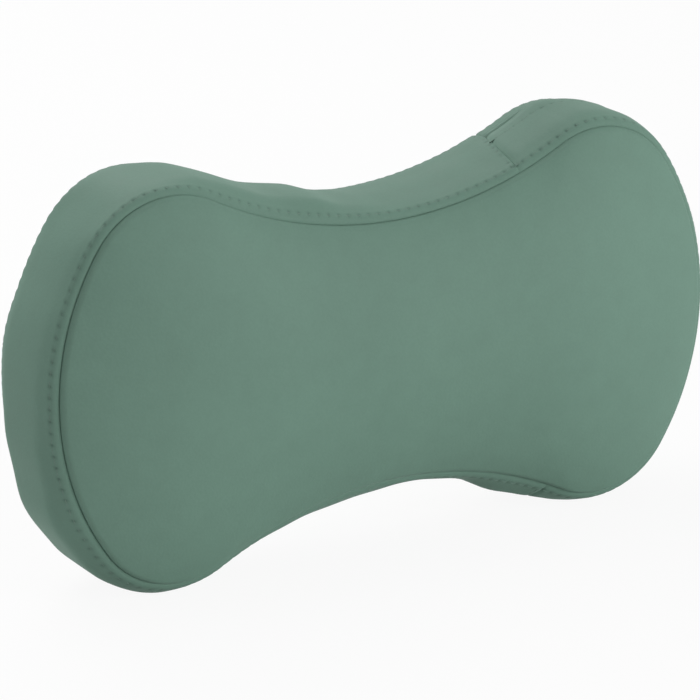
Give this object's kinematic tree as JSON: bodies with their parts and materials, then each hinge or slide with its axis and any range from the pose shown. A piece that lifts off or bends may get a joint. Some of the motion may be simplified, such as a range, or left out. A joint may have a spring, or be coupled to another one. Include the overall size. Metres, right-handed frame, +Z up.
{
  "type": "chair headrest cushion",
  "caption": "Bow-tie headrest cushion in a zip-off faux-leather cover, held to a chair back by an elastic strap with a side-release buckle.",
  "frame": {"origin": "middle of the flat back face that lies against the chair", "axes": "+X to the right seen from the front, +Y out of the back towards the chair, +Z up"},
  "size_m": [0.37, 0.1029, 0.2018],
  "materials": {
    "faux_leather": "matte grey-green faux leather with a fine grain",
    "liner_cloth": "thin off-white non-woven liner",
    "foam": "open-cell foam",
    "zip_tape": "woven polyester tape",
    "zip_coil": "nylon coil",
    "zip_metal": "plated zinc",
    "elastic": "ribbed woven elastic webbing",
    "buckle_plastic": "fine-textured acetal"
  },
  "bodies": {
    "cushion": {"front_panel": "faux_leather", "back_panel": "faux_leather", "side_band": "faux_leather", "zip_lap_strip": "faux_leather", "zip_rear_strip": "faux_leather", "liner_front": "liner_cloth", "liner_back": "liner_cloth", "foam_core": "foam", "zip_tape_front": "zip_tape", "zip_tape_rear": "zip_tape", "zip_coil_front": "zip_coil", "zip_coil_rear": "zip_coil", "zip_top_stop_front": "zip_metal", "zip_top_stop_rear": "zip_metal", "zip_bottom_stop": "zip_metal", "strap_left": "elastic", "strap_right": "elastic", "buckle_socket": "buckle_plastic"},
    "zip_slider": {"zip_slider": "zip_metal"},
    "zip_pull": {"zip_pull": "zip_metal"},
    "buckle_insert": {"buckle_insert": "buckle_plastic"},
    "buckle_arm_upper": {"buckle_arm_upper": "buckle_plastic"},
    "buckle_arm_lower": {"buckle_arm_lower": "buckle_plastic"}
  },
  "joints": [
    {"name": "zip_run", "type": "hinge", "parent": "cushion", "child": "zip_slider", "pos_m": [0.11883, -0.027, 0.05], "axis": [0, 1, 0], "range_deg": [0, 58]},
    {"name": "pull_flip", "type": "hinge", "parent": "zip_slider", "child": "zip_pull", "pos_m": [0.1032, -0.027, 0.09406], "axis": [0, -1, 0], "range_deg": [0, 10]},
    {"name": "buckle_release", "type": "slide", "parent": "cushion", "child": "buckle_insert", "axis": [1, 0, 0], "range_m": [0, 0.028], "deforming": ["strap_right", "buckle_arm_upper", "buckle_arm_lower"]},
    {"name": "arm_squeeze_upper", "type": "hinge", "parent": "buckle_insert", "child": "buckle_arm_upper", "pos_m": [0.0083, 0.02, 0.0148], "axis": [0, -1, 0], "range_deg": [0, 10], "stiffness_Nm_per_rad": 0.4},
    {"name": "arm_squeeze_lower", "type": "hinge", "parent": "buckle_insert", "child": "buckle_arm_lower", "pos_m": [0.0083, 0.02, -0.0148], "axis": [0, 1, 0], "range_deg": [0, 10], "stiffness_Nm_per_rad": 0.4}
  ],
  "couplings": [
    {"joint": "arm_squeeze_lower", "follows": "arm_squeeze_upper", "ratio": 1}
  ]
}
